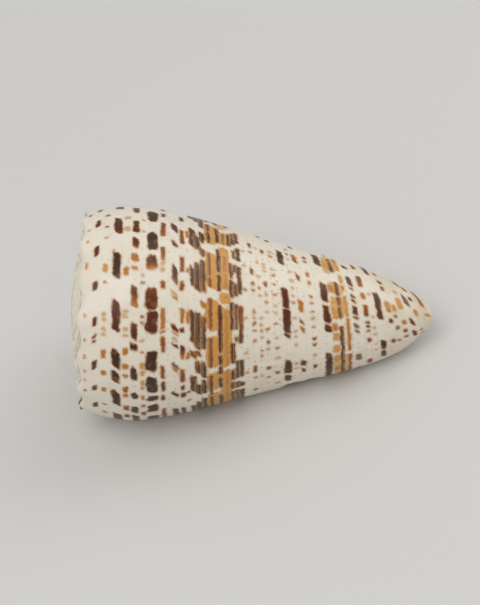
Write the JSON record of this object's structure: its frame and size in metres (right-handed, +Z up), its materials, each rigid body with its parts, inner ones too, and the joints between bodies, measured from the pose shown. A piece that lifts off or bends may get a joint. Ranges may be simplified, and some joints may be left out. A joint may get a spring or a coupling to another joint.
{
  "type": "cone shell",
  "caption": "Conical sea snail shell with a low, knobbly coiled spire, a straight-sided body whorl tapering to the front end and a long narrow aperture.",
  "frame": {"origin": "on the floor, under the middle of the shell's bounding box", "axes": "+Z up as the shell lies on its lip and aperture side; +X along the shell's length towards the front (siphonal) end; the spire is at -X and the lip faces -Y"},
  "size_m": [0.0756, 0.0436, 0.042],
  "materials": {
    "shell": "smooth, softly glossy shell, cream with rows of dark brown dashes and dots and ochre and purple-brown bands"
  },
  "bodies": {
    "root": {"shell": "shell"}
  },
  "joints": []
}
